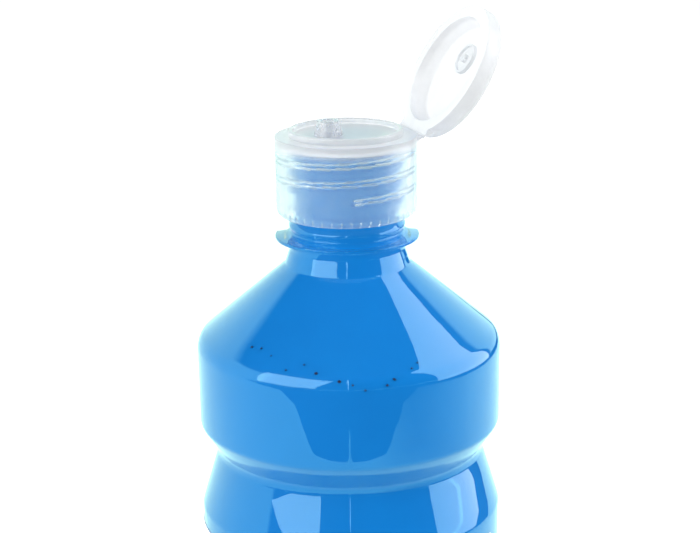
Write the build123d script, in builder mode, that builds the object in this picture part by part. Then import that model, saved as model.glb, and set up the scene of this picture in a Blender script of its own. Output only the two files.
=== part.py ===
"""Clear squeeze bottle of ready-mixed paint with a screw-on flip-top closure, lid open.

Millimetres, +Z up. The origin is the centre of the base, on the surface the bottle stands on.
The closure's hinge is on the +X side, and the spout is moved towards -X.
"""

import os

from build123d import *

os.makedirs("parts", exist_ok=True)

# ---- bottle body: radii, and heights above the base ----
BODY_R = 36.5
WAIST_R = 32.4
WALL = 0.6
HEEL_FILLET = 6.0
STANDING_RING_R = 25.0
PUSH_UP_R = 8.0
PUSH_UP_HEIGHT = 7.0
LOWER_BAND_TOP = 16.5
LOWER_WAIST = (23.3, 24.9)
PANEL = (38.9, 113.4)
UPPER_WAIST = (126.8, 128.4)
UPPER_BAND = (134.8, 155.3)

# ---- bottle neck: a 28 mm screw finish ----
NECK_CONE_R = 14.6
NECK_CONE_Z = 173.6
NECK_R = 13.9
NECK_BORE_R = 10.8
FINISH_R = 12.5
THREAD_R = 13.7
SUPPORT_RING_R = 17.1
SUPPORT_RING_Z = 179.9
SUPPORT_RING_RIM = 0.7
BEAD_Z = 182.8
LIP_Z = 201.5
PITCH = 25.4 / 6
THREAD_TURNS = 2.25
THREAD_END_Z = 190.9
THREAD_END_ANGLE = 250

# ---- contents and label ----
FIT_GAP = 0.05
FILL_Z = 200.4
LABEL_THICKNESS = 0.12
LABEL = (43.0, 109.2)
LABEL_START_ANGLE = 26
LABEL_WRAP = 290

# ---- closure ----
CAP_R = 16.65
CAP_BOTTOM = 185.1
CAP_BORE_R = 14.35
CAP_THREAD_R = 12.9
LEDGE_Z = 204.0
DECK_Z = (202.6, 204.3)
SNAP_RING_R = (12.4, 13.4)
SNAP_RING_TOP = 205.5
WASHER_BORE_R = 9.6
GRIP_RIBS = 40
GRIP_RIB_HEIGHT = 2.0
GRIP_RIB_WIDTH = 0.5
GRIP_RIB_DEPTH = 0.35

# ---- spout ----
SPOUT_X = -4.3
SPOUT_SHANK_R = 2.4
SPOUT_FOOT_R = 3.4
SPOUT_TIP_R = 2.75
SPOUT_BORE_R = 1.3
SPOUT_TOP = 207.7
SPOUT_STEPS = 3

# ---- hinge and lid, the lid drawn closed and then swung open ----
HINGE_X = 16.5
HINGE_Z = 203.8
HINGE_WIDTH = 16.0
HINGE_FLAT_X = 16.27
HINGE_FILM_R = 0.2
BRACKET_DROP = 4.2
OPEN_ANGLE = 120.5
LID_R = 16.63
LID_GAP = 0.05
LID_HEIGHT = 5.0
LID_DEPTH = 4.15
LID_BORE_R = 13.6
LID_FLOOR_R = 12.6
LID_SNAP_DEPTH = 1.7
LID_TOP_FILLET = 2.4
PLUG_RING_R = (3.2, 3.8)
PLUG_PIN_R = 1.0

CLOSED_LID_Z = LEDGE_Z + LID_GAP
LID_FLOOR_Z = CLOSED_LID_Z + LID_DEPTH


def finish(part, name):
    """Label one finished piece and write its STEP file."""
    part.label = name
    export_step(part, f"parts/{name}.step")


def half_section(corners):
    """Draw a closed half section from (radius, height, fillet) corners."""
    FilletPolyline(
        *[(r, z) for r, z, _ in corners],
        radius=[fillet for _, _, fillet in corners],
        close=True,
    )


def body_corners(inset):
    """Corners of the bottle's body below its neck, moved inwards by inset."""
    side = BODY_R - inset
    waist = WAIST_R - inset
    inner = 1 if inset else 0
    return [
        (0, PUSH_UP_HEIGHT + inset, 0),
        (PUSH_UP_R, PUSH_UP_HEIGHT + inset, 3.0),
        (STANDING_RING_R, inset, 2.0),
        (side, inset, HEEL_FILLET - inset),
        (side, LOWER_BAND_TOP, 3.0 - inner * inset),
        (waist, LOWER_WAIST[0], 2.5),
        (waist, LOWER_WAIST[1], 2.5),
        (side, PANEL[0], 3.5 - inner * inset),
        (side, PANEL[1], 3.5 - inner * inset),
        (waist, UPPER_WAIST[0], 2.5),
        (waist, UPPER_WAIST[1], 2.5),
        (side, UPPER_BAND[0], 2.6 - inner * inset),
        (side, UPPER_BAND[1] - 0.3 * inset, 4.8 - inner * inset),
    ]


def thread_ridge(root_r, crest_r, root_width, crest_width, turns):
    """Sweep a right-handed thread ridge that starts at +X, height 0."""
    with BuildPart() as ridge:
        with BuildLine() as path:
            Helix(PITCH, turns * PITCH, root_r)
        start = Plane(origin=path.line @ 0, x_dir=(1, 0, 0), z_dir=path.line % 0)
        with BuildSketch(start):
            with BuildLine():
                Polyline(
                    (0, -root_width / 2),
                    (crest_r - root_r, -crest_width / 2),
                    (crest_r - root_r, crest_width / 2),
                    (0, root_width / 2),
                    close=True,
                )
            make_face()
        sweep(path=path.line, is_frenet=True)
    return ridge.part


# ---- bottle ----
ring_low = SUPPORT_RING_Z - SUPPORT_RING_RIM / 2
ring_high = SUPPORT_RING_Z + SUPPORT_RING_RIM / 2
neck_outside = [
    (NECK_CONE_R, NECK_CONE_Z, 2.0),
    (NECK_R, ring_low - 0.6, 0),
    (SUPPORT_RING_R, ring_low, 0.25),
    (SUPPORT_RING_R, ring_high, 0.25),
    (13.3, ring_high + 0.9, 0.3),
    (NECK_R, BEAD_Z, 0.8),
    (FINISH_R, BEAD_Z + 1.9, 0.4),
    (FINISH_R, LIP_Z, 0.4),
]
neck_inside = [
    (NECK_BORE_R, LIP_Z, 0.3),
    (NECK_BORE_R, ring_low - 2.0, 2.0),
    (NECK_CONE_R - 1.6, NECK_CONE_Z - 1.6, 2.0),
]
bottle_corners = body_corners(0) + neck_outside + neck_inside + body_corners(WALL)[::-1]
neck_thread = thread_ridge(FINISH_R - 0.3, THREAD_R, 2.6, 1.0, THREAD_TURNS)
neck_thread_z = THREAD_END_Z - PITCH / 2

with BuildPart() as bottle:
    with BuildSketch(Plane.XZ):
        with BuildLine():
            half_section(bottle_corners)
        make_face()
    revolve(axis=Axis.Z)
    add(neck_thread.rotate(Axis.Z, THREAD_END_ANGLE).translate((0, 0, neck_thread_z)))
finish(bottle.part, "bottle")

# ---- paint ----
paint_neck = [
    (NECK_CONE_R - 1.6 - FIT_GAP, NECK_CONE_Z - 1.6, 2.0),
    (NECK_BORE_R - FIT_GAP, ring_low - 2.0, 2.0),
    (NECK_BORE_R - FIT_GAP, FILL_Z, 0),
    (0, FILL_Z, 0),
]
with BuildPart() as paint:
    with BuildSketch(Plane.XZ):
        with BuildLine():
            half_section(body_corners(WALL + FIT_GAP) + paint_neck)
        make_face()
    revolve(axis=Axis.Z)
finish(paint.part, "paint")

# ---- label: a band round most of the panel, open over a strip at the hinge side ----
with BuildPart() as label:
    with BuildSketch(Plane.XZ):
        with Locations((BODY_R + FIT_GAP, LABEL[0])):
            Rectangle(LABEL_THICKNESS, LABEL[1] - LABEL[0], align=(Align.MIN, Align.MIN))
    revolve(axis=Axis.Z, revolution_arc=LABEL_WRAP)
finish(label.part.rotate(Axis.Z, LABEL_START_ANGLE), "label")

# ---- sealing washer between the bottle's lip and the closure's deck ----
with BuildPart() as neck_washer:
    with BuildSketch(Plane.XY.offset(LIP_Z)):
        Circle(FINISH_R + 1.0)
        Circle(WASHER_BORE_R, mode=Mode.SUBTRACT)
    extrude(amount=DECK_Z[0] - LIP_Z)
finish(neck_washer.part, "neck_washer")

# ---- closure: skirt, deck, snap ring, thread, grip ribs and hinge bracket ----
cap_corners = [
    (0, DECK_Z[0], 0),
    (CAP_BORE_R, DECK_Z[0], 0.6),
    (CAP_BORE_R, CAP_BOTTOM, 0),
    (CAP_R, CAP_BOTTOM, 2.0),
    (CAP_R, LEDGE_Z, 0.15),
    (SNAP_RING_R[1], LEDGE_Z, 0),
    (SNAP_RING_R[1], SNAP_RING_TOP, 0.3),
    (SNAP_RING_R[0], SNAP_RING_TOP, 0.3),
    (SNAP_RING_R[0], DECK_Z[1], 0.5),
    (0, DECK_Z[1], 0),
]
cap_thread = thread_ridge(CAP_THREAD_R, CAP_BORE_R + 0.3, 0.8, 1.9, THREAD_TURNS)

with BuildPart() as closure_base:
    with BuildSketch(Plane.XZ):
        with BuildLine():
            half_section(cap_corners)
        make_face()
    revolve(axis=Axis.Z)
    with Locations((SPOUT_X, 0, DECK_Z[1])):
        Hole(SPOUT_SHANK_R + FIT_GAP, depth=DECK_Z[1] - DECK_Z[0])
    with Locations((HINGE_FLAT_X, 0, HINGE_Z - BRACKET_DROP)):
        Box(2, HINGE_WIDTH, 2 * BRACKET_DROP, align=(Align.MIN, Align.CENTER, Align.MIN),
            mode=Mode.SUBTRACT)
    with BuildSketch(Plane.XZ.offset(-HINGE_WIDTH / 2)):
        with BuildLine():
            Polyline(
                (HINGE_FLAT_X, HINGE_Z - 0.8),
                (HINGE_FLAT_X, HINGE_Z - 0.3),
                (HINGE_FLAT_X - 0.15, HINGE_Z),
                (CAP_BORE_R - 0.1, HINGE_Z),
                (CAP_BORE_R - 0.1, HINGE_Z - BRACKET_DROP),
            )
            ThreePointArc(
                (CAP_BORE_R - 0.1, HINGE_Z - BRACKET_DROP),
                (CAP_BORE_R + 0.75, HINGE_Z - 1.9),
                (HINGE_FLAT_X, HINGE_Z - 0.8),
            )
        make_face()
    extrude(amount=HINGE_WIDTH)
    with BuildSketch(Plane.XY.offset(CAP_BOTTOM + 0.5)):
        with PolarLocations(CAP_BORE_R, GRIP_RIBS):
            Rectangle(2 * GRIP_RIB_DEPTH, GRIP_RIB_WIDTH)
    extrude(amount=GRIP_RIB_HEIGHT)
    add(cap_thread.rotate(Axis.Z, THREAD_END_ANGLE).translate((0, 0, THREAD_END_Z)))
finish(closure_base.part, "closure_base")

# ---- spout: a stepped nozzle held in the deck by its shank ----
step_height = (SPOUT_TOP - DECK_Z[1]) / (SPOUT_STEPS + 1)
step_inset = (SPOUT_FOOT_R - SPOUT_TIP_R) / SPOUT_STEPS
spout_outside = []
for step in range(SPOUT_STEPS + 1):
    step_r = SPOUT_FOOT_R - step * step_inset
    step_z = DECK_Z[1] + step * step_height
    spout_outside.append((step_r, step_z, 0))
    spout_outside.append((step_r, step_z + step_height, 0.1))
spout_corners = [
    (SPOUT_BORE_R, DECK_Z[0], 0),
    (SPOUT_SHANK_R, DECK_Z[0], 0),
    (SPOUT_SHANK_R, DECK_Z[1], 0),
    *spout_outside,
    (SPOUT_BORE_R, SPOUT_TOP, 0.3),
]
with BuildPart() as spout:
    with BuildSketch(Plane.XZ.move(Location((SPOUT_X, 0, 0)))):
        with BuildLine():
            half_section(spout_corners)
        make_face()
    revolve(axis=Axis((SPOUT_X, 0, 0), (0, 0, 1)))
finish(spout.part, "spout")

# ---- living hinge: the thin web the lid turns about ----
with BuildPart() as hinge_film:
    with BuildSketch(Plane.XZ.offset(-HINGE_WIDTH / 2 + 0.5)):
        with Locations((HINGE_X, HINGE_Z)):
            Circle(HINGE_FILM_R)
    extrude(amount=HINGE_WIDTH - 1.0)
finish(hinge_film.part, "hinge_film")

# ---- lid and its plug, drawn closed ----
lid_top = CLOSED_LID_Z + LID_HEIGHT
lid_corners = [
    (0, LID_FLOOR_Z, 0),
    (LID_FLOOR_R, LID_FLOOR_Z, 0.8),
    (LID_BORE_R, CLOSED_LID_Z + LID_SNAP_DEPTH, 0),
    (LID_BORE_R, CLOSED_LID_Z, 0),
    (LID_R, CLOSED_LID_Z, 0.15),
    (LID_R, lid_top, LID_TOP_FILLET),
    (0, lid_top, 0),
]
with BuildPart() as lid:
    with BuildSketch(Plane.XZ):
        with BuildLine():
            half_section(lid_corners)
        make_face()
    revolve(axis=Axis.Z)
    with BuildSketch(Plane.XZ.offset(-HINGE_WIDTH / 2)):
        with BuildLine():
            Polyline(
                (HINGE_FLAT_X - 0.15, CLOSED_LID_Z),
                (HINGE_FLAT_X, CLOSED_LID_Z + 0.15),
                (HINGE_FLAT_X, CLOSED_LID_Z + 1.0),
            )
            ThreePointArc(
                (HINGE_FLAT_X, CLOSED_LID_Z + 1.0),
                (CAP_BORE_R + 0.75, CLOSED_LID_Z + 1.6),
                (CAP_BORE_R + 0.2, CLOSED_LID_Z + 2.6),
            )
            Polyline(
                (CAP_BORE_R + 0.2, CLOSED_LID_Z + 2.6),
                (CAP_BORE_R + 0.2, CLOSED_LID_Z),
                (HINGE_FLAT_X - 0.15, CLOSED_LID_Z),
            )
        make_face()
    extrude(amount=HINGE_WIDTH)
    with Locations((HINGE_FLAT_X, 0, CLOSED_LID_Z)):
        Box(2, HINGE_WIDTH, LID_HEIGHT, align=(Align.MIN, Align.CENTER, Align.MIN),
            mode=Mode.SUBTRACT)

plug_corners = [
    (0, LID_FLOOR_Z, 0),
    (PLUG_RING_R[1], LID_FLOOR_Z, 0),
    (PLUG_RING_R[1], LID_FLOOR_Z - 1.0, 0.1),
    (PLUG_RING_R[0], LID_FLOOR_Z - 1.0, 0.1),
    (PLUG_RING_R[0], LID_FLOOR_Z - 0.25, 0),
    (PLUG_PIN_R, LID_FLOOR_Z - 0.25, 0.15),
    (PLUG_PIN_R, LID_FLOOR_Z - 1.4, 0.3),
    (0, LID_FLOOR_Z - 1.4, 0),
]
with BuildPart() as lid_plug:
    with BuildSketch(Plane.XZ.move(Location((SPOUT_X, 0, 0)))):
        with BuildLine():
            half_section(plug_corners)
        make_face()
    revolve(axis=Axis((SPOUT_X, 0, 0), (0, 0, 1)))

# ---- swing the lid and its plug open about the hinge ----
hinge_axis = Axis((HINGE_X, 0, HINGE_Z), (0, 1, 0))
finish(lid.part.rotate(hinge_axis, OPEN_ANGLE), "lid")
finish(lid_plug.part.rotate(hinge_axis, OPEN_ANGLE), "lid_plug")
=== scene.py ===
import math
import random

import bmesh
import bpy
from mathutils import Matrix, Vector


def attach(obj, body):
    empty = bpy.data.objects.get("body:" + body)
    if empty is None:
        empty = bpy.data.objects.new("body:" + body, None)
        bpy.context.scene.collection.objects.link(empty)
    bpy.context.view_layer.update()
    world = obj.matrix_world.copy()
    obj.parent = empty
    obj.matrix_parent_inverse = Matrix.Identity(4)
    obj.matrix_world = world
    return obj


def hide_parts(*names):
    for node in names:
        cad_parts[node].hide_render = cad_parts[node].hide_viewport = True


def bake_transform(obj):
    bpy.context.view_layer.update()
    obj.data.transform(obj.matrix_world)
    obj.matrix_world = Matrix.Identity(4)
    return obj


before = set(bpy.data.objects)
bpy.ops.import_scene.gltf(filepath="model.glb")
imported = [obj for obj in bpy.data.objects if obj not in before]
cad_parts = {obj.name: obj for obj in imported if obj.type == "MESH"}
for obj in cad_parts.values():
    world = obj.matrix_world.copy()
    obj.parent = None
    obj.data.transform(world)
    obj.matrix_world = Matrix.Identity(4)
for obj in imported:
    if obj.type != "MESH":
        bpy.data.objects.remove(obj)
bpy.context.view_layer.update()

MM = 0.001

# ---- driving dimensions, in millimetres, as in the CAD ----
BODY_R = 36.5
WAIST_R = 32.4
WALL = 0.6
HEEL_FILLET = 6.0
STANDING_RING_R = 25.0
PUSH_UP_R = 8.0
PUSH_UP_HEIGHT = 7.0
LOWER_BAND_TOP = 16.5
LOWER_WAIST = (23.3, 24.9)
PANEL = (38.9, 113.4)
UPPER_WAIST = (126.8, 128.4)
UPPER_BAND = (134.8, 155.3)
NECK_CONE_R = 14.6
NECK_CONE_Z = 173.6
NECK_R = 13.9
NECK_BORE_R = 10.8
FINISH_R = 12.5
THREAD_R = 13.7
SUPPORT_RING_R = 17.1
SUPPORT_RING_Z = 179.9
SUPPORT_RING_RIM = 0.7
BEAD_Z = 182.8
LIP_Z = 201.5
PITCH = 25.4 / 6
THREAD_TURNS = 2.25
THREAD_END_Z = 190.9
THREAD_END_ANGLE = 250
FILL_Z = 200.4
LABEL_Z = (43.0, 109.2)
LABEL_ANGLES = (26, 316)
LABEL_R = (36.55, 36.67)
CAP_R = 16.65
CAP_BOTTOM = 185.1
CAP_BORE_R = 14.35
CAP_THREAD_R = 12.9
LEDGE_Z = 204.0
DECK_Z = (202.6, 204.3)
SNAP_RING_R = (12.4, 13.4)
SNAP_RING_TOP = 205.5
WASHER_R = (9.6, 13.5)
GRIP_RIBS = 40
SPOUT_X = -4.3
SPOUT_SHANK_R = 2.4
SPOUT_FOOT_R = 3.4
SPOUT_TIP_R = 2.75
SPOUT_BORE_R = 1.3
SPOUT_TOP = 207.7
SPOUT_STEPS = 3
HINGE_X = 16.5
HINGE_Z = 203.8
HINGE_WIDTH = 16.0
HINGE_FLAT_X = 16.27
BRACKET_DROP = 4.2
BRACKET_CURVE = 2.6
OPEN_ANGLE = 120.5
LID_R = 16.63
CLOSED_LID_Z = 204.05
LID_HEIGHT = 5.0
LID_FLOOR_Z = CLOSED_LID_Z + 4.15
LID_BORE_R = 13.6
LID_FLOOR_R = 12.6
LID_SNAP_DEPTH = 1.7
LID_TOP_FILLET = 2.4
PLUG_RING_R = (3.2, 3.8)
PLUG_PIN_R = 1.0

# ---- relief that only this scene has: half widths and heights, in millimetres ----
NECK_THREAD_HALF_WIDTHS = (1.3, 0.45)
CAP_THREAD_HALF_WIDTHS = (0.8, 0.25)
RIB_HALF_ANGLE = 1.1
RIB_HEIGHT = 1.7
RIB_DEPTH = 0.3
RIB_SLANT = 1.6
SEAM_ANGLES = (70, 250)
SEAM_HALF_WIDTH = 0.3
SEAM_HEIGHT = 0.09
SHOULDER_WALL = 1.6
PAINT_BITE = 0.03
WEB_HALF_THICKNESS = 0.12
WEB_ARCH = 0.35

# ---- the camera's place: it looks along +Y turned by VIEW_AZIMUTH, 16 degrees down ----
VIEW_AZIMUTH = 20.0
VIEW_PITCH = 16.0
VIEW_ROLL = -0.8
VIEW_DISTANCE = 394.4
VIEW_TARGET = (0.56, 171.9)
FOCAL_LENGTH = 84.86

# ---- pigment specks: loose trails, each from a turn (degrees from the camera's side) and a
# height to another, with a count ----
SPECK_DEPTH = 0.38
SPECK_TRAILS = [
    ((-44, 160.5), (-4, 156.0), 7),
    ((4, 154.0), (27, 158.0), 7),
    ((105, 160.0), (135, 157.0), 4),
    ((203, 160.0), (216, 157.0), 3),
]

# ---- the milky scatter of natural polypropylene; the skirt's colour carries painted blue bounce light from the paint, the top's is neutral ----
MILK_WITH_PAINTED_BOUNCE = (0.60, 0.715, 0.735, 1)
TOP_MILK = (0.60, 0.605, 0.61, 1)

# ---- painted reflections: the white table and sweep as the glossy shell mirrors them, tinted cool, and the dark cards past the table ----
PAINTED_REFLECTION_TINT = (0.83, 1.28, 1.06, 1)
PAINTED_REFLECTION_STRENGTH = 1.6
DARK_STRENGTH = 0.03
SWEEP_SLANT = -0.628
SWEEP_EDGE = (0.13, 0.19)
SWEEP_TOP = (0.66, 0.58)
DARK_FRONT_Y = -0.333
DARK_RIGHT_X = 0.5

# ---- the label's generic pattern: heights in millimetres ----
FIELD_TOP_Z = 62
FIELD_WAVE = 9
STROKE_Z = 83
STROKE_WAVE = 6
STROKE_HALF_WIDTH = 9.5


# ======================= shape helpers =======================

def outline(corners, spacing=2.0, fine=None, closed=False):
    """Points along straight runs with rounded corners, from (radius, height, fillet) corners.

    fine(start, end) may give a closer spacing for the run between those two points.
    """
    pts = [Vector((r, z)) for r, z, _ in corners]
    n = len(pts)
    stops = []
    for i, (r, z, fillet) in enumerate(corners):
        p = pts[i]
        if fillet <= 0 or (not closed and i in (0, n - 1)):
            stops.append([p])
            continue
        a = (pts[i - 1] - p).normalized()
        b = (pts[(i + 1) % n] - p).normalized()
        half = math.acos(max(-1.0, min(1.0, a.dot(b)))) / 2
        centre = p + (a + b).normalized() * (fillet / math.sin(half))
        run = fillet / math.tan(half)
        first, last = p + a * run - centre, p + b * run - centre
        turn = math.pi - 2 * half
        steps = max(3, round(math.degrees(turn) / 6))
        arc = []
        for k in range(steps + 1):
            t = k / steps
            s0 = math.sin((1 - t) * turn) / math.sin(turn)
            s1 = math.sin(t * turn) / math.sin(turn)
            arc.append(centre + first * s0 + last * s1)
        stops.append(arc)
    path = []
    for i, stop in enumerate(stops):
        path.extend(stop)
        if i == n - 1 and not closed:
            break
        start, end = stop[-1], stops[(i + 1) % n][0]
        step = (fine(start, end) if fine else None) or spacing
        count = max(1, math.ceil((end - start).length / step))
        path.extend(start.lerp(end, k / count) for k in range(1, count))
    return [(p.x, p.y) for p in path]


def around(count, extra=(), arc=(0, 360)):
    """Angles in degrees, evenly spaced, with extra ones where fine detail sits."""
    span = arc[1] - arc[0]
    full = span == 360
    base = {round(arc[0] + span * k / count, 4) for k in range(count if full else count + 1)}
    base.update(round(a % 360 if full else a, 4) for a in extra)
    return sorted(base)


def lathe(name, profile, angles, shape=None, centre=(0, 0), closed_profile=True, full=True):
    """Turn a profile of (radius, height) points, in mm, into a mesh in metres.

    shape(angle, r, z, index) may return a changed (r, z) for ribs, threads and seams.
    """
    mesh = bpy.data.meshes.new(name)
    bm = bmesh.new()
    rows = []
    for i, (r, z) in enumerate(profile):
        if r < 1e-6:
            vert = bm.verts.new((centre[0] * MM, centre[1] * MM, z * MM))
            rows.append([vert] * len(angles))
            continue
        row = []
        for a in angles:
            rr, zz = shape(a, r, z, i) if shape else (r, z)
            t = math.radians(a)
            row.append(bm.verts.new(((centre[0] + rr * math.cos(t)) * MM,
                                     (centre[1] + rr * math.sin(t)) * MM, zz * MM)))
        rows.append(row)
    last_row = len(rows) if closed_profile else len(rows) - 1
    last_col = len(angles) if full else len(angles) - 1
    for i in range(last_row):
        lower, upper = rows[i], rows[(i + 1) % len(rows)]
        for k in range(last_col):
            m = (k + 1) % len(angles)
            quad = []
            for vert in (lower[k], lower[m], upper[m], upper[k]):
                if vert not in quad:
                    quad.append(vert)
            if len(quad) > 2:
                bm.faces.new(quad)
    if not full and closed_profile:
        bm.faces.new([row[0] for row in rows])
        bm.faces.new([row[-1] for row in reversed(rows)])
    bmesh.ops.recalc_face_normals(bm, faces=bm.faces)
    bm.to_mesh(mesh)
    bm.free()
    return add_object(name, mesh)


def add_object(name, mesh, sharp=32.0):
    """Link a mesh with smooth faces and sharp edges past an angle."""
    mesh.shade_smooth()
    mesh.set_sharp_from_angle(angle=math.radians(sharp))
    obj = bpy.data.objects.new(name, mesh)
    bpy.context.scene.collection.objects.link(obj)
    return obj


def give(obj, material):
    obj.data.materials.clear()
    obj.data.materials.append(material)


def smooth_step(t):
    t = max(0.0, min(1.0, t))
    return t * t * (3 - 2 * t)


def thread_height(angle, z, start_z, turns, base_half, crest_half):
    """0 to 1: how far a thread ridge, steeper below than above, stands out at this place."""
    part = ((angle - THREAD_END_ANGLE) % 360) / 360
    best = 0.0
    for k in range(int(turns) + 1):
        t = part + k
        if t > turns:
            continue
        dz = z - (start_z + PITCH * t)
        reach = base_half * (1.4 if dz > 0 else 0.7)
        flank = (reach - abs(dz)) / (reach - crest_half)
        end = min(t, turns - t) / 0.05
        best = max(best, smooth_step(flank) * smooth_step(end))
    return best


def angle_gap(a, b):
    return abs((a - b + 180) % 360 - 180)


# ======================= material helpers =======================

class Nodes:
    """A short way to write a material's node tree."""

    def __init__(self, name):
        self.material = bpy.data.materials.new(name)
        self.material.use_nodes = True
        self.tree = self.material.node_tree
        self.tree.nodes.clear()
        self.out = self.tree.nodes.new("ShaderNodeOutputMaterial")

    def add(self, kind, inputs=None, **settings):
        node = self.tree.nodes.new("ShaderNode" + kind)
        for key, value in settings.items():
            setattr(node, key, value)
        for key, value in (inputs or {}).items():
            self.set(node, key, value)
        return node

    def set(self, node, key, value):
        socket = node.inputs[key]
        if isinstance(value, bpy.types.NodeSocket):
            self.tree.links.new(value, socket)
        else:
            socket.default_value = value

    def math(self, operation, a, b=0.0, clamp=False):
        node = self.add("Math", {0: a, 1: b}, operation=operation, use_clamp=clamp)
        return node.outputs[0]

    def mix_colour(self, factor, a, b, blend="MIX"):
        node = self.add("Mix", data_type="RGBA", blend_type=blend)
        self.set(node, 0, factor)
        self.set(node, 6, a)
        self.set(node, 7, b)
        return node.outputs[2]

    def mix_shader(self, factor, a, b):
        return self.add("MixShader", {0: factor, 1: a, 2: b}).outputs[0]

    def position(self):
        return self.add("TexCoord").outputs["Object"]

    def noise(self, scale, detail=3.0, roughness=0.5, vector=None):
        node = self.add("TexNoise", {"Scale": scale, "Detail": detail, "Roughness": roughness})
        self.set(node, "Vector", vector or self.position())
        return node.outputs["Fac"]

    def ramp(self, value, low, high, out_low=0.0, out_high=1.0):
        node = self.add("MapRange", {"Value": value, "From Min": low, "From Max": high,
                                     "To Min": out_low, "To Max": out_high})
        return node.outputs[0]

    def bump(self, height, distance, strength=1.0):
        return self.add("Bump", {"Height": height, "Distance": distance,
                                 "Strength": strength}).outputs[0]

    def lamp_rays(self):
        """1 for rays that carry light onto what is behind a clear wall, else 0."""
        path = self.add("LightPath")
        return self.math("MAXIMUM", path.outputs["Is Shadow Ray"], path.outputs["Is Diffuse Ray"])

    def painted_reflection_colour(self):
        """The painted reflection's cool tint for mirrored rays, plain white for rays through clear walls.
        """
        through = self.add("LightPath").outputs["Is Transmission Ray"]
        return self.mix_colour(through, PAINTED_REFLECTION_TINT, (0.95, 0.95, 0.96, 1))

    def finish(self, shader):
        self.set(self.out, "Surface", shader)
        return self.material


# ======================= materials =======================

def clear_pet():
    """Blown PET: clear and glossy, with a faint flow waviness and fine scuffs."""
    n = Nodes("clear_pet")
    waves = n.noise(60.0, 2.0)
    scuffs = n.ramp(n.noise(900.0, 4.0, 0.7), 0.62, 0.8)
    glass = n.add("BsdfPrincipled", {
        "Base Color": (0.97, 0.99, 1.0, 1), "IOR": 1.575, "Transmission Weight": 1.0,
        "Specular Tint": (0.5, 0.95, 1.0, 1),
        "Roughness": n.math("MULTIPLY", scuffs, 0.03),
        "Normal": n.bump(waves, 0.00004)})
    clear = n.add("BsdfTransparent", {"Color": (0.97, 0.985, 1.0, 1)})
    return n.finish(n.mix_shader(n.lamp_rays(), glass.outputs[0], clear.outputs[0]))


def blue_paint():
    """Opaque tempera against the wall: a saturated blue with slight settling mottle."""
    n = Nodes("blue_paint")
    mottle = n.ramp(n.noise(45.0, 5.0, 0.6), 0.35, 0.7)
    grain = n.noise(2200.0, 2.0)
    colour = n.mix_colour(mottle, (0.0015, 0.118, 0.37, 1), (0.002, 0.128, 0.39, 1))
    paint = n.add("BsdfPrincipled", {
        "Base Color": colour, "Roughness": n.ramp(grain, 0.3, 0.7, 0.42, 0.55),
        "Specular IOR Level": 0.05, "Normal": n.bump(grain, 0.00001)})
    return n.finish(paint.outputs[0])


def moulded_pp(name, haze, graze, rough, top_haze=0.0):
    """Natural polypropylene: clear enough to see through, with a milky body haze.

    The skirt's milky haze is tinted blue as painted bounce light from the paint inside; the closure's
    thick top is more neutral than its skirt, and top_haze hazier.
    """
    n = Nodes(name)
    cloud = n.ramp(n.noise(160.0, 4.0, 0.6), 0.3, 0.75, haze * 0.85, haze * 1.15)
    height = n.add("SeparateXYZ", {0: n.position()}).outputs["Z"]
    thick = n.ramp(height, (DECK_Z[0] - 2.2) * MM, (DECK_Z[0] - 0.4) * MM)
    cloud = n.math("ADD", cloud, n.math("MULTIPLY", thick, top_haze))
    # Painted light: the skirt's milk colour is tinted blue to stand in for light bounced from the blue
    # paint; the thick top takes the neutral top colour.
    milk_and_painted_bounce_colour = n.mix_colour(thick, MILK_WITH_PAINTED_BOUNCE, TOP_MILK)
    slant = n.add("LayerWeight", {"Blend": 0.5}).outputs["Facing"]
    cloud = n.math("ADD", cloud, n.math("MULTIPLY", n.math("POWER", slant, 2.0), graze), clamp=True)
    texture = n.noise(1500.0, 3.0)
    normal = n.bump(texture, 0.000006)
    roughness = n.ramp(n.noise(300.0, 3.0), 0.3, 0.7, rough * 0.8, rough * 1.3)
    glass = n.add("BsdfPrincipled", {
        "Base Color": n.mix_colour(thick, (0.86, 0.99, 0.985, 1), (0.955, 0.965, 0.975, 1)),
        "IOR": 1.49, "Transmission Weight": 1.0,
        "Roughness": roughness, "Normal": normal})
    milk_front = n.add("BsdfDiffuse", {"Color": milk_and_painted_bounce_colour, "Normal": normal})
    milk_back = n.add("BsdfTranslucent", {"Color": milk_and_painted_bounce_colour, "Normal": normal})
    milk = n.mix_shader(0.5, milk_front.outputs[0], milk_back.outputs[0])
    body = n.mix_shader(cloud, glass.outputs[0], milk)
    clear = n.add("BsdfTransparent", {"Color": (0.93, 0.95, 0.96, 1)})
    passing = n.math("MULTIPLY", n.lamp_rays(), 0.9)
    return n.finish(n.mix_shader(passing, body, clear.outputs[0]))


def foam_liner():
    """Closed-cell foam with fine pits."""
    n = Nodes("foam_liner")
    cells = n.add("TexVoronoi", {"Scale": 2500.0, "Vector": n.position()}).outputs["Distance"]
    foam = n.add("BsdfPrincipled", {
        "Base Color": n.mix_colour(n.ramp(cells, 0.0, 0.6), (0.50, 0.56, 0.60, 1),
                                   (0.60, 0.65, 0.68, 1)),
        "Roughness": 0.6, "Subsurface Weight": 0.2, "Subsurface Scale": 0.001,
        "Normal": n.bump(cells, 0.00004)})
    return n.finish(foam.outputs[0])


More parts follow.
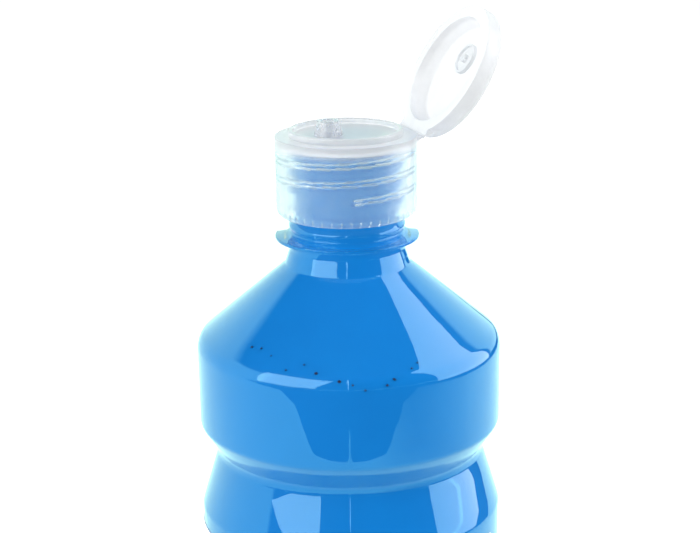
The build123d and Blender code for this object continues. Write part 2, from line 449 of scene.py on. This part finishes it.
def label_print():
    """A printed sleeve: white ground, a purple field and a blue brush stroke."""
    n = Nodes("label_print")
    xyz = n.add("SeparateXYZ", {0: n.position()})
    angle = n.math("ARCTAN2", xyz.outputs["Y"], xyz.outputs["X"])
    height = xyz.outputs["Z"]
    grain = n.noise(1400.0, 3.0)
    wave = n.math("MULTIPLY", n.math("SINE", n.math("MULTIPLY", angle, 2.0)), FIELD_WAVE * MM)
    field_edge = n.math("ADD", wave, FIELD_TOP_Z * MM)
    field = n.math("LESS_THAN", height, field_edge)
    ground = n.mix_colour(field, (0.92, 0.92, 0.94, 1), (0.19, 0.09, 0.42, 1))
    stroke_centre = n.math("ADD", n.math("MULTIPLY", n.math("SINE", n.math("MULTIPLY", angle, 3.0)),
                                         STROKE_WAVE * MM), STROKE_Z * MM)
    ragged = n.math("MULTIPLY", n.noise(420.0, 4.0), 0.004)
    off = n.math("ADD", n.math("ABSOLUTE", n.math("SUBTRACT", height, stroke_centre)), ragged)
    stroke = n.math("LESS_THAN", off, STROKE_HALF_WIDTH * MM)
    art = n.mix_colour(stroke, ground, (0.01, 0.25, 0.66, 1))
    edge_low = n.math("LESS_THAN", height, (LABEL_Z[0] + 1.2) * MM)
    edge_high = n.math("GREATER_THAN", height, (LABEL_Z[1] - 1.0) * MM)
    border = n.math("MAXIMUM", edge_low, edge_high)
    colour = n.mix_colour(border, art, (0.95, 0.95, 0.96, 1))
    sleeve = n.add("BsdfPrincipled", {
        "Base Color": colour, "Roughness": n.ramp(grain, 0.3, 0.7, 0.2, 0.34),
        "Coat Weight": 0.4, "Coat Roughness": 0.12, "Normal": n.bump(grain, 0.000008)})
    return n.finish(sleeve.outputs[0])


def speck_pigment():
    """Nearly black blue pigment."""
    n = Nodes("speck_pigment")
    grain = n.noise(3000.0, 2.0)
    speck = n.add("BsdfPrincipled", {
        "Base Color": n.mix_colour(grain, (0.001, 0.006, 0.03, 1), (0.002, 0.012, 0.06, 1)),
        "Roughness": n.ramp(grain, 0.3, 0.7, 0.5, 0.7)})
    return n.finish(speck.outputs[0])


def floor_and_painted_reflection():
    """A pale, softly glowing light table; where it shows as a reflection it is a painted reflection,
    brighter and cooler.
    """
    n = Nodes("floor_and_painted_reflection")
    grain = n.noise(300.0, 3.0)
    gloss = n.add("LightPath").outputs["Is Glossy Ray"]
    paper = n.add("BsdfPrincipled", {
        "Base Color": n.mix_colour(grain, (0.49, 0.49, 0.49, 1), (0.51, 0.51, 0.51, 1)),
        "Roughness": 0.9, "Specular IOR Level": 0.0,
        "Emission Color": (1, 1, 1, 1), "Emission Strength": 0.73})
    # Painted reflection: mirrored rays see the table brighter and tinted cool, not as it is lit.
    mirrored = n.add("Emission", {"Color": n.painted_reflection_colour(), "Strength": PAINTED_REFLECTION_STRENGTH})
    return n.finish(n.mix_shader(gloss, paper.outputs[0], mirrored.outputs[0]))


def painted_dark_reflection():
    """Painted dark reflection: the dark room past the table's edges, as black cards that only reflections
    see.
    """
    n = Nodes("painted_dark_reflection")
    return n.finish(n.add("BsdfDiffuse", {"Color": (0.01, 0.01, 0.01, 1)}).outputs[0])


def painted_reflection_shade():
    """Painted shade in reflections: a thin black card over the table's front right, seen only by mirrors,
    which clears towards the back.
    """
    n = Nodes("painted_reflection_shade")
    xyz = n.add("SeparateXYZ", {0: n.position()})
    across = n.ramp(xyz.outputs["X"], -0.2, 0.0)
    clearing = n.ramp(xyz.outputs["Y"], -0.25, 0.15, 0.3, 1.0)
    clear = n.math("SUBTRACT", 1.0, n.math("MULTIPLY", across, n.math("SUBTRACT", 1.0, clearing)))
    black = n.add("BsdfDiffuse", {"Color": (0.01, 0.01, 0.01, 1)})
    through = n.add("BsdfTransparent")
    return n.finish(n.mix_shader(clear, black.outputs[0], through.outputs[0]))


# ======================= bottle and contents =======================

def body_corners(inset):
    """Corners of the bottle's body below its neck, moved inwards by inset."""
    side = BODY_R - inset
    waist = WAIST_R - inset
    inner = inset if inset > 0.1 else 0
    return [
        (0, PUSH_UP_HEIGHT + inset, 0),
        (PUSH_UP_R, PUSH_UP_HEIGHT + inset, 3.0),
        (STANDING_RING_R, inset, 2.0),
        (side, inset, HEEL_FILLET - inset),
        (side, LOWER_BAND_TOP, 3.0 - inner),
        (waist, LOWER_WAIST[0], 2.5),
        (waist, LOWER_WAIST[1], 2.5),
        (side, PANEL[0], 3.5 - inner),
        (side, PANEL[1], 3.5 - inner),
        (waist, UPPER_WAIST[0], 2.5),
        (waist, UPPER_WAIST[1], 2.5),
        (side, UPPER_BAND[0], 2.6 - inner),
        (side, UPPER_BAND[1] - 0.3 * inset, 4.8 - inner),
    ]


def bottle_shell(material):
    """The clear shell, with its thread, bead, support ring and mould parting lines."""
    low = SUPPORT_RING_Z - SUPPORT_RING_RIM / 2
    high = SUPPORT_RING_Z + SUPPORT_RING_RIM / 2
    outside = body_corners(0) + [
        (14.95, 173.3, 0.8),
        (14.42, 174.85, 0.2),
        (14.36, 175.15, 0.2),
        (13.72, 176.95, 1.2),
        (13.72, low - 0.6, 0.6),
        (SUPPORT_RING_R, low, 0.25),
        (SUPPORT_RING_R, high, 0.25),
        (13.3, high + 0.9, 0.3),
        (NECK_R, BEAD_Z, 0.8),
        (FINISH_R, BEAD_Z + 1.9, 0.4),
        (FINISH_R, LIP_Z, 0.4),
    ]
    inside = [
        (NECK_BORE_R, LIP_Z, 0.3),
        (NECK_BORE_R, low - 2.0, 2.0),
        (NECK_CONE_R - SHOULDER_WALL, NECK_CONE_Z - SHOULDER_WALL, 2.0),
    ] + body_corners(WALL)[::-1]

    def fine(start, end):
        return 0.11 if abs(start.x - FINISH_R) < 0.05 and abs(end.x - FINISH_R) < 0.05 else None

    profile = outline(outside + inside, spacing=3.0, fine=fine)
    outer_count = next(i for i, (r, z) in enumerate(profile) if r < NECK_BORE_R + 0.4 and z > LIP_Z - 0.5)

    def shape(angle, r, z, i):
        if i >= outer_count:
            return r, z
        if abs(r - FINISH_R) < 0.05:
            r += (THREAD_R - FINISH_R) * thread_height(
                angle, z, THREAD_END_Z - PITCH / 2, THREAD_TURNS, *NECK_THREAD_HALF_WIDTHS)
        gap = min(angle_gap(angle, s) for s in SEAM_ANGLES) * math.radians(1) * r
        if 1.0 < z < LIP_Z - 1:
            r += SEAM_HEIGHT * smooth_step(1 - gap / SEAM_HALF_WIDTH)
        return r, z

    seams = [s + d for s in SEAM_ANGLES for d in (-0.45, -0.22, 0, 0.22, 0.45)]
    obj = lathe("bottle_shell", profile, around(288, seams), shape, closed_profile=False)
    give(obj, material)
    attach(obj, "bottle")
    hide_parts("bottle")
    return obj


def paint_fill(material):
    """The paint, pressed a hair into the inner wall so that no air shows between."""
    low = SUPPORT_RING_Z - SUPPORT_RING_RIM / 2
    neck = NECK_BORE_R + PAINT_BITE
    corners = body_corners(WALL - PAINT_BITE) + [
        (NECK_CONE_R - SHOULDER_WALL + PAINT_BITE, NECK_CONE_Z - SHOULDER_WALL, 2.0),
        (neck, low - 2.0, 2.0),
        (neck, FILL_Z + 0.4, 0),
        (neck - 0.7, FILL_Z + 0.05, 0.3),
        (0, FILL_Z, 0),
    ]
    obj = lathe("paint_fill", outline(corners, spacing=3.0), around(256), closed_profile=False)
    give(obj, material)
    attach(obj, "bottle")
    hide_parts("paint")


def speck_spots(rng):
    """Turn, height and radius of each speck, strewn along the trails."""
    spots = []
    for start, end, count in SPECK_TRAILS:
        for k in range(count):
            along = Vector(start).lerp(Vector(end), k / (count - 1))
            drift = Vector((rng.uniform(-3.0, 3.0), rng.uniform(-1.3, 1.3)))
            spots.append((*(along + drift), rng.uniform(0.2, 0.4)))
    return spots


def pigment_specks(material, shell):
    """Dark undispersed pigment specks under the wall of the shoulder, in front of the paint."""
    rng = random.Random(7)
    bpy.context.view_layer.update()
    mesh = bpy.data.meshes.new("pigment_specks")
    bm = bmesh.new()
    for turn, height, size in speck_spots(rng):
        angle = math.radians(turn - VIEW_AZIMUTH - 90)
        inward = Vector((-math.cos(angle), -math.sin(angle), 0))
        start = Vector((0, 0, height * MM)) - inward * 2 * BODY_R * MM
        _, wall, normal, _ = shell.ray_cast(start, inward)
        place = Matrix.Translation(wall - normal * SPECK_DEPTH * MM)
        lump = Matrix.Diagonal((size * MM, size * rng.uniform(0.7, 1.2) * MM, size * 0.8 * MM, 1))
        bmesh.ops.create_icosphere(bm, subdivisions=2, radius=1.0, matrix=place @ lump)
    bm.to_mesh(mesh)
    bm.free()
    obj = add_object("pigment_specks", mesh, sharp=180)
    give(obj, material)
    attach(obj, "bottle")


def label_sleeve(material):
    """The printed band round the straight panel."""
    corners = [
        (LABEL_R[0], LABEL_Z[0], 0),
        (LABEL_R[1], LABEL_Z[0], 0),
        (LABEL_R[1], LABEL_Z[1], 0),
        (LABEL_R[0], LABEL_Z[1], 0),
    ]
    obj = lathe("label_sleeve", outline(corners, spacing=6.0, closed=True),
                around(220, arc=LABEL_ANGLES), full=False)
    give(obj, material)
    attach(obj, "bottle")
    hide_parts("label")


def sealing_washer(material):
    """The flat ring between the bottle's lip and the deck."""
    corners = [
        (WASHER_R[0], LIP_Z, 0.15),
        (WASHER_R[1], LIP_Z, 0.15),
        (WASHER_R[1], DECK_Z[0], 0.15),
        (WASHER_R[0], DECK_Z[0], 0.15),
    ]
    obj = lathe("sealing_washer", outline(corners, spacing=1.0, closed=True), around(128))
    give(obj, material)
    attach(obj, "washer")
    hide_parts("neck_washer")


# ======================= closure =======================

def bracket_x(z):
    """How far out the hinge bracket's face stands at a height, curving in below the hinge."""
    drop = (HINGE_Z - 0.5 - z) / (BRACKET_DROP - 0.5)
    if drop <= 0:
        return HINGE_FLAT_X
    return HINGE_FLAT_X - BRACKET_CURVE * min(1.0, drop) ** 0.55


def closure_shape(angle, r, z, outer):
    """Thread and grip ribs on the bore, hinge bracket and flat on the outside."""
    if not outer:
        if abs(r - CAP_BORE_R) < 0.02:
            r -= (CAP_BORE_R - CAP_THREAD_R) * thread_height(
                angle, z, THREAD_END_Z, THREAD_TURNS, *CAP_THREAD_HALF_WIDTHS)
            spacing = 360 / GRIP_RIBS
            slanted = angle - (z - CAP_BOTTOM) * RIB_SLANT
            rib = 1 - abs((slanted + spacing / 2) % spacing - spacing / 2) / RIB_HALF_ANGLE
            rise = min(z - CAP_BOTTOM, CAP_BOTTOM + RIB_HEIGHT - z) / 0.4
            r -= RIB_DEPTH * smooth_step(rib) * smooth_step(rise)
        return r, z
    turn = angle_gap(angle, 0)
    x_per_r = math.cos(math.radians(turn))
    if z > HINGE_Z - BRACKET_DROP and turn < 60 and r > CAP_BORE_R:
        half_turn = math.degrees(math.atan2(HINGE_WIDTH / 2, HINGE_FLAT_X))
        skirt = min(r, HINGE_FLAT_X / x_per_r)
        if z <= HINGE_Z + 0.01:
            bracket = bracket_x(z) / x_per_r
            inside = smooth_step((half_turn + 0.6 - turn) / 0.6)
            skirt += max(0.0, bracket - skirt) * inside
        return skirt, z
    return r, z


def closure_shell(material):
    """Skirt, deck and snap ring in one, with the hole that the spout stands in."""
    outside = [
        (CAP_BORE_R, CAP_BOTTOM, 0),
        (CAP_R, CAP_BOTTOM, 2.0),
        (CAP_R, HINGE_Z, 0),
        (CAP_R, LEDGE_Z, 0.12),
        (SNAP_RING_R[1], LEDGE_Z, 0.12),
        (SNAP_RING_R[1], SNAP_RING_TOP, 0.35),
        (SNAP_RING_R[0], SNAP_RING_TOP, 0.35),
        (SNAP_RING_R[0] - 0.15, DECK_Z[1], 0.5),
        (0, DECK_Z[1], 0),
    ]
    inside = [
        (0, DECK_Z[0], 0),
        (CAP_BORE_R, DECK_Z[0], 0.6),
        (CAP_BORE_R, CAP_BOTTOM + 0.01, 0),
    ]

    def fine_out(start, end):
        return 0.3 if abs(start.x - CAP_R) < 0.01 and end.y > HINGE_Z - 0.5 else 1.0

    outer = outline(outside, fine=fine_out)
    inner = outline(inside, fine=lambda start, end: 0.22 if abs(end.x - CAP_BORE_R) < 0.01 else 1.0)
    count = len(outer)
    half_turn = math.degrees(math.atan2(HINGE_WIDTH / 2, HINGE_FLAT_X))
    angles = around(360, [s * (half_turn + d) for s in (-1, 1) for d in (0, 0.3, 0.6)])
    obj = lathe("closure_shell", outer + inner, angles,
                lambda a, r, z, i: closure_shape(a, r, z, i < count))
    drill = lathe("spout_hole", outline([
        (0, DECK_Z[0] - 1, 0), (SPOUT_SHANK_R + 0.03, DECK_Z[0] - 1, 0),
        (SPOUT_SHANK_R + 0.03, DECK_Z[1] + 1, 0), (0, DECK_Z[1] + 1, 0)]),
        around(48), centre=(SPOUT_X, 0), closed_profile=False)
    cut(obj, drill)
    give(obj, material)
    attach(obj, "closure")
    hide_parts("closure_base")


def cut(obj, tool):
    """Subtract tool from obj and remove it."""
    step = obj.modifiers.new("cut", "BOOLEAN")
    step.object = tool
    step.operation = "DIFFERENCE"
    step.solver = "EXACT"
    graph = bpy.context.evaluated_depsgraph_get()
    mesh = bpy.data.meshes.new_from_object(obj.evaluated_get(graph), depsgraph=graph)
    obj.modifiers.clear()
    old = obj.data
    obj.data = mesh
    mesh.name = old.name
    bpy.data.objects.remove(tool)
    mesh.shade_smooth()
    mesh.set_sharp_from_angle(angle=math.radians(32))


def spout_nozzle(material):
    """The stepped spout on the deck, off centre, away from the hinge."""
    step_height = (SPOUT_TOP - DECK_Z[1]) / (SPOUT_STEPS + 1)
    step_inset = (SPOUT_FOOT_R - SPOUT_TIP_R) / SPOUT_STEPS
    corners = [
        (SPOUT_BORE_R, DECK_Z[0], 0.1),
        (SPOUT_SHANK_R, DECK_Z[0], 0.1),
        (SPOUT_SHANK_R, DECK_Z[1] + 0.01, 0),
    ]
    for step in range(SPOUT_STEPS + 1):
        r = SPOUT_FOOT_R - step * step_inset
        z = DECK_Z[1] + 0.01 + step * step_height
        corners.append((r, z, 0.05 if step else 0.15))
        corners.append((r - 0.08, z + step_height, 0.1))
    corners.append((SPOUT_BORE_R + 0.1, SPOUT_TOP, 0.35))
    corners = corners[:-2] + [(corners[-2][0], SPOUT_TOP, 0.3), corners[-1]]
    obj = lathe("spout_nozzle", outline(corners, spacing=0.6, closed=True), around(72),
                centre=(SPOUT_X, 0))
    give(obj, material)
    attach(obj, "closure")
    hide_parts("spout")


# ======================= hinge and lid =======================

def swung(obj):
    """Turn a piece drawn on the closed lid to where the open lid stands."""
    pivot = Vector((HINGE_X, 0, HINGE_Z)) * MM
    turn = Matrix.Rotation(math.radians(OPEN_ANGLE), 4, "Y")
    obj.data.transform(Matrix.Translation(pivot) @ turn @ Matrix.Translation(-pivot))
    return obj


def lid_shell(material):
    """The lid's cap, with a tab at its hinge side, drawn shut and then swung open."""
    top = CLOSED_LID_Z + LID_HEIGHT
    corners = [
        (0, LID_FLOOR_Z, 0),
        (LID_FLOOR_R, LID_FLOOR_Z, 0.8),
        (LID_BORE_R, CLOSED_LID_Z + LID_SNAP_DEPTH, 0),
        (LID_BORE_R, CLOSED_LID_Z, 0.15),
        (LID_R, CLOSED_LID_Z, 0.15),
        (LID_R, top, LID_TOP_FILLET),
        (0, top, 0),
    ]
    half_turn = math.degrees(math.atan2(HINGE_WIDTH / 2, HINGE_FLAT_X))

    def shape(angle, r, z, i):
        turn = angle_gap(angle, 0)
        if turn > 60 or r < LID_BORE_R + 0.5:
            return r, z
        x_per_r = math.cos(math.radians(turn))
        flat = min(r, HINGE_FLAT_X / x_per_r)
        rise = (z - CLOSED_LID_Z - 0.8) / 1.8
        tab = (HINGE_FLAT_X - 1.7 * smooth_step(rise)) / x_per_r
        inside = smooth_step((half_turn + 0.6 - turn) / 0.6)
        if rise < 1 and r > LID_R - 0.3:
            flat += max(0.0, tab - flat) * inside
        return flat, z

    angles = around(240, [s * (half_turn + d) for s in (-1, 1) for d in (0, 0.3, 0.6)])
    obj = lathe("lid_shell", outline(corners, spacing=0.7), angles, shape, closed_profile=False)
    give(obj, material)
    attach(swung(obj), "lid")
    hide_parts("lid")


def lid_stopper(material):
    """The ring and pin under the lid that close the spout."""
    top = LID_FLOOR_Z - 0.01
    corners = [
        (0, top, 0),
        (PLUG_RING_R[1], top, 0),
        (PLUG_RING_R[1], top - 1.0, 0.15),
        (PLUG_RING_R[0], top - 1.0, 0.15),
        (PLUG_RING_R[0], top - 0.25, 0.1),
        (PLUG_PIN_R, top - 0.25, 0.15),
        (PLUG_PIN_R, top - 1.4, 0.4),
        (0, top - 1.4, 0),
    ]
    obj = lathe("lid_stopper", outline(corners, spacing=0.5), around(64), centre=(SPOUT_X, 0),
                closed_profile=False)
    give(obj, material)
    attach(swung(obj), "lid")
    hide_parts("lid_plug")


def ribbon(name, path, half_width, half_thickness, columns):
    """A thin closed strip across the Y axis that follows a path of (x, z) points, in mm."""
    steps = len(path) - 1
    mesh = bpy.data.meshes.new(name)
    bm = bmesh.new()
    sheets = []
    for side in (-1, 1):
        rows = []
        for i, (x, z) in enumerate(path):
            ahead, behind = path[min(i + 1, steps)], path[max(i - 1, 0)]
            d = Vector((ahead[0] - behind[0], ahead[1] - behind[1])).normalized()
            px, pz = x - d.y * half_thickness * side, z + d.x * half_thickness * side
            rows.append([bm.verts.new((px * MM, (half_width * (2 * c / columns - 1)) * MM, pz * MM))
                         for c in range(columns + 1)])
        for i in range(steps):
            for c in range(columns):
                bm.faces.new((rows[i][c], rows[i][c + 1], rows[i + 1][c + 1], rows[i + 1][c]))
        sheets.append(rows)
    low, high = sheets
    for i in range(steps):
        for c in (0, -1):
            bm.faces.new((low[i][c], high[i][c], high[i + 1][c], low[i + 1][c]))
    for c in range(columns):
        for i in (0, -1):
            bm.faces.new((low[i][c], high[i][c], high[i][c + 1], low[i][c + 1]))
    bmesh.ops.recalc_face_normals(bm, faces=bm.faces)
    bm.to_mesh(mesh)
    bm.free()
    return add_object(name, mesh)


def hinge_web(material):
    """The living hinge: a thin strip that bends between the bracket and the lid's edge."""
    turn = math.radians(OPEN_ANGLE)
    lid_edge = (-0.12, CLOSED_LID_Z + 0.5 - HINGE_Z)
    end = (HINGE_X + lid_edge[0] * math.cos(turn) + lid_edge[1] * math.sin(turn),
           HINGE_Z - lid_edge[0] * math.sin(turn) + lid_edge[1] * math.cos(turn))
    start = (HINGE_FLAT_X - 0.02, HINGE_Z - 0.7)
    steps = 12
    path = []
    for k in range(steps + 1):
        t = k / steps
        x = start[0] + (end[0] - start[0]) * t
        z = start[1] + (end[1] - start[1]) * t + WEB_ARCH * math.sin(math.pi * t)
        path.append((x, z))
    obj = ribbon("hinge_web", path, HINGE_WIDTH / 2 - 0.2, WEB_HALF_THICKNESS, 24)
    give(obj, material)
    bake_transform(obj)
    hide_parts("hinge_film")


# ======================= stage, light and camera =======================

def facing(direction_azimuth, elevation, distance, aim):
    """A matrix that stands at a direction from aim and looks back at it.

    The azimuth is measured from the camera's side: 0 is towards the camera, 90 to its right.
    """
    turn = math.radians(direction_azimuth - VIEW_AZIMUTH - 90)
    up = math.radians(elevation)
    place = aim + distance * Vector((math.cos(turn) * math.cos(up), math.sin(turn) * math.cos(up),
                                     math.sin(up)))
    turn_to = (aim - place).to_track_quat("-Z", "Y")
    return Matrix.Translation(place) @ turn_to.to_matrix().to_4x4()


def softbox(name, azimuth, elevation, distance, size, radiance, glossy=True, base=None):
    """An area light; with a base height it stands upright on that height."""
    data = bpy.data.lights.new(name, "AREA")
    data.shape = "RECTANGLE"
    data.size, data.size_y = size
    data.energy = radiance * math.pi * size[0] * size[1]
    lamp = bpy.data.objects.new(name, data)
    aim = Vector((0, 0, 0.14 if base is None else base + size[1] / 2))
    lamp.matrix_world = facing(azimuth, elevation, distance, aim)
    lamp.visible_camera = False
    lamp.visible_glossy = glossy
    lamp.visible_transmission = False
    bpy.context.scene.collection.objects.link(lamp)


def card(name, matrix, size, material, only_glossy=True):
    """A flat stage rectangle, (width, depth) in metres, that only mirrors see unless told."""
    mesh = bpy.data.meshes.new(name)
    w, h = size[0] / 2, size[1] / 2
    mesh.from_pydata([(-w, -h, 0), (w, -h, 0), (w, h, 0), (-w, h, 0)], [], [(0, 1, 2, 3)])
    obj = bpy.data.objects.new(name, mesh)
    obj.matrix_world = matrix
    bpy.context.scene.collection.objects.link(obj)
    give(obj, material)
    if only_glossy:
        obj.visible_camera = False
        obj.visible_diffuse = False
        obj.visible_transmission = False
        obj.visible_shadow = False


def studio_world():
    """Soft grey light all round, and for reflections only a painted reflection: a bright, cool-tinted
    white sweep behind and dark elsewhere.
    """
    world = bpy.data.worlds.new("studio")
    world.use_nodes = True
    tree = world.node_tree
    tree.nodes.clear()

    def add(kind, inputs, **settings):
        node = tree.nodes.new("ShaderNode" + kind)
        for key, value in settings.items():
            setattr(node, key, value)
        for key, value in inputs.items():
            if isinstance(value, bpy.types.NodeSocket):
                tree.links.new(value, node.inputs[key])
            else:
                node.inputs[key].default_value = value
        return node.outputs

    direction = add("TexCoord", {})["Generated"]
    turned = add("VectorRotate", {"Vector": direction, "Angle": math.radians(VIEW_AZIMUTH)},
                 rotation_type="Z_AXIS")["Vector"]
    xyz = add("SeparateXYZ", {0: turned})
    slant = add("Math", {0: xyz["X"], 1: SWEEP_SLANT, 2: xyz["Y"]}, operation="MULTIPLY_ADD")[0]
    behind = add("MapRange", {"Value": slant, "From Min": SWEEP_EDGE[0],
                               "From Max": SWEEP_EDGE[1]})[0]
    low = add("MapRange", {"Value": xyz["Z"], "From Min": SWEEP_TOP[0], "From Max": SWEEP_TOP[1]})[0]
    sweep = add("Math", {0: behind, 1: low}, operation="MULTIPLY")[0]
    seen = add("MapRange", {"Value": sweep, "To Min": DARK_STRENGTH,
                             "To Max": PAINTED_REFLECTION_STRENGTH})[0]
    # Painted reflection: only mirrored rays see the sweep and the dark; every other ray sees even grey
    # light.
    gloss = add("LightPath", {})["Is Glossy Ray"]
    strength = add("Mix", {0: gloss, 2: 0.5, 3: seen}, data_type="FLOAT")[0]
    through = add("LightPath", {})["Is Transmission Ray"]
    mirrored = add("Math", {0: gloss, 1: through}, operation="SUBTRACT", use_clamp=True)[0]
    colour = add("Mix", {0: mirrored, 6: (1, 1, 1, 1), 7: PAINTED_REFLECTION_TINT}, data_type="RGBA")[2]
    background = add("Background", {"Color": colour, "Strength": strength})[0]
    add("OutputWorld", {"Surface": background})
    bpy.context.scene.world = world


def stage_and_light():
    card("floor", Matrix.Identity(4), (12, 12), floor_and_painted_reflection(), only_glossy=False)
    black = painted_dark_reflection()
    towards = Matrix.Rotation(math.radians(-VIEW_AZIMUTH), 4, "Z")
    front = Matrix.Translation((0, DARK_FRONT_Y - 1.5, 0.0008))
    right = Matrix.Translation((DARK_RIGHT_X + 1.5, DARK_FRONT_Y + 1.503, 0.0008))
    # Painted dark reflections: black cards in front of and right of the table that only mirrors see.
    card("dark_front", towards @ front, (5, 3), black)
    card("dark_right", towards @ right, (3, 3), black)
    # Painted shade in reflections: a black card over the table's front right that only mirrors see,
    # clearing towards the back.
    card("shade_right", towards @ Matrix.Translation((0.3, -0.083, 0.0006)), (0.4, 0.5), painted_reflection_shade())
    softbox("softbox_right", 95, 0, 0.9, (1.0, 1.62), 4.2, base=0.012)
    softbox("softbox_left", -46, 27, 0.8, (0.70, 0.70), 4.8)
    softbox("fill_top", 0, 70, 1.0, (0.7, 0.7), 2.2, glossy=False)
    studio_world()
    bpy.context.scene.view_settings.view_transform = "Standard"
    bpy.context.scene.cycles.use_denoising = True
    bpy.context.scene.cycles.transmission_bounces = 16
    bpy.context.scene.cycles.transparent_max_bounces = 16
    bpy.context.scene.cycles.max_bounces = 20


def camera():
    """The camera, level but for its pitch and a slight roll, turned round the bottle."""
    pitch, roll = math.radians(VIEW_PITCH), math.radians(VIEW_ROLL)
    ahead = Vector((0, math.cos(pitch), -math.sin(pitch)))
    right = Vector((1, 0, 0))
    up = right.cross(ahead)
    right, up = right * math.cos(roll) + up * math.sin(roll), up * math.cos(roll) - right * math.sin(roll)
    place = Vector((VIEW_TARGET[0], 0, VIEW_TARGET[1])) - ahead * VIEW_DISTANCE
    basis = Matrix((right, up, -ahead)).transposed().to_4x4()
    data = bpy.data.cameras.new("camera")
    data.lens = FOCAL_LENGTH
    data.sensor_width = 36
    data.clip_start = 0.01
    obj = bpy.data.objects.new("camera", data)
    obj.matrix_world = (Matrix.Rotation(math.radians(-VIEW_AZIMUTH), 4, "Z")
                        @ Matrix.Translation(place * MM) @ basis)
    bpy.context.scene.collection.objects.link(obj)
    bpy.context.scene.camera = obj


pet = clear_pet()
skirt_pp = moulded_pp("natural_pp", 0.09, 0.35, 0.2, top_haze=0.3)
lid_pp = moulded_pp("natural_pp_lid", 0.66, 0.3, 0.35)
spout_pp = moulded_pp("clear_pp", 0.3, 0.3, 0.25)

shell = bottle_shell(pet)
paint_fill(blue_paint())
pigment_specks(speck_pigment(), shell)
label_sleeve(label_print())
sealing_washer(foam_liner())
closure_shell(skirt_pp)
spout_nozzle(spout_pp)
hinge_web(lid_pp)
lid_shell(lid_pp)
lid_stopper(lid_pp)
stage_and_light()
camera()
